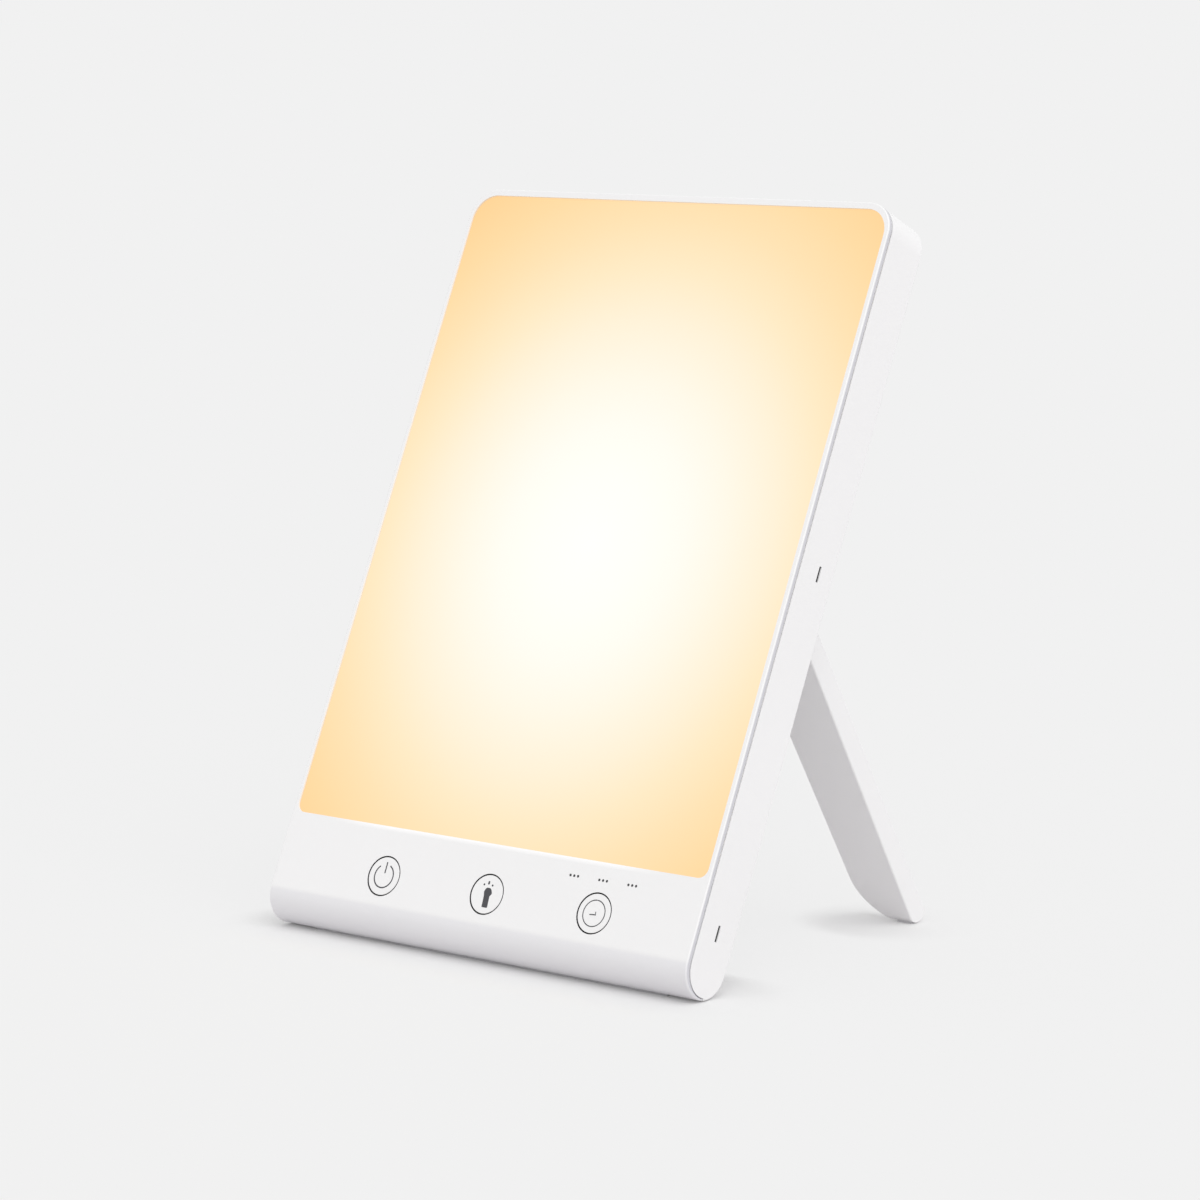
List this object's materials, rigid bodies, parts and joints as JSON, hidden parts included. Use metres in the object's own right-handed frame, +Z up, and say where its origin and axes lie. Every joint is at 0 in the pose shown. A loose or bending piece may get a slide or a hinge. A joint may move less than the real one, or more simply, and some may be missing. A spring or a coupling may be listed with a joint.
{
  "type": "light therapy lamp",
  "caption": "Slim tablet-like light therapy lamp: a warm edge-lit panel in a white case with a round chin, push buttons and a fold-out stand",
  "frame": {"origin": "on the table, in the middle of the flat rubber strip under the chin", "axes": "+Z up, +Y from the lit face towards the stand, +X to the right seen from the front"},
  "size_m": [0.155, 0.1282, 0.2124],
  "materials": {
    "case_plastic": "satin white moulded ABS",
    "stand_plastic": "satin white moulded ABS",
    "button_plastic": "satin white moulded ABS",
    "opal_panel": "opal acrylic, lit from behind",
    "clear_film": "clear prismatic film",
    "clear_acrylic": "clear polished acrylic",
    "white_film": "matt white",
    "aluminium_sheet": "plain mill finish",
    "led_board": "white solder mask",
    "led_package": "yellow phosphor",
    "circuit_board": "green solder mask",
    "component_black": "moulded black",
    "connector_plastic": "natural nylon",
    "plunger_plastic": "moulded white",
    "smoked_pipe": "smoked clear moulding",
    "socket_plastic": "moulded black",
    "plated_pin": "nickel plated",
    "flat_lead": "polyimide flex",
    "hinge_metal": "satin die casting",
    "pin_steel": "ground steel",
    "washer_fibre": "black fibre",
    "grip_rubber": "matt grey silicone rubber",
    "screw_steel": "zinc plated"
  },
  "bodies": {
    "lamp": {"front_shell": "case_plastic", "rear_cover": "case_plastic", "diffuser_panel": "opal_panel", "prism_film": "clear_film", "light_guide": "clear_acrylic", "reflector_sheet": "white_film", "chassis_plate": "aluminium_sheet", "guide_rails": "white_film", "led_board_left": "led_board", "led_board_right": "led_board", "leds_left": "led_package", "leds_right": "led_package", "control_board": "circuit_board", "board_components": "component_black", "board_connectors": "connector_plastic", "tact_switches": "component_black", "indicator_light_pipes": "smoked_pipe", "indicator_leds": "led_package", "dc_socket": "socket_plastic", "dc_socket_pin": "plated_pin", "dc_lead": "flat_lead", "led_flex_left": "flat_lead", "led_flex_right": "flat_lead", "hinge_bracket_left": "hinge_metal", "hinge_bracket_right": "hinge_metal", "friction_washers": "washer_fibre", "chin_grip_strip": "grip_rubber", "cover_screws": "screw_steel", "hinge_screws": "screw_steel", "board_screws": "screw_steel"},
    "stand": {"stand_frame": "stand_plastic", "stand_feet": "grip_rubber", "hinge_pin_left": "pin_steel", "hinge_pin_right": "pin_steel"},
    "power_key": {"power_button": "button_plastic", "power_plunger": "plunger_plastic"},
    "torch_key": {"torch_button": "button_plastic", "torch_plunger": "plunger_plastic"},
    "timer_key": {"timer_button": "button_plastic", "timer_plunger": "plunger_plastic"}
  },
  "joints": [
    {"name": "stand_hinge", "type": "hinge", "parent": "lamp", "child": "stand", "pos_m": [0, 0.05781, 0.09897], "axis": [1, 0, 0], "range_deg": [-56.3, 0]},
    {"name": "power_press", "type": "slide", "parent": "lamp", "child": "power_key", "axis": [0, 0.9063, -0.4226], "range_m": [0, 0.0005], "stiffness_N_per_m": 3000, "springref_m": -0.0003},
    {"name": "torch_press", "type": "slide", "parent": "lamp", "child": "torch_key", "axis": [0, 0.9063, -0.4226], "range_m": [0, 0.0005], "stiffness_N_per_m": 3000, "springref_m": -0.0003},
    {"name": "timer_press", "type": "slide", "parent": "lamp", "child": "timer_key", "axis": [0, 0.9063, -0.4226], "range_m": [0, 0.0005], "stiffness_N_per_m": 3000, "springref_m": -0.0003}
  ]
}
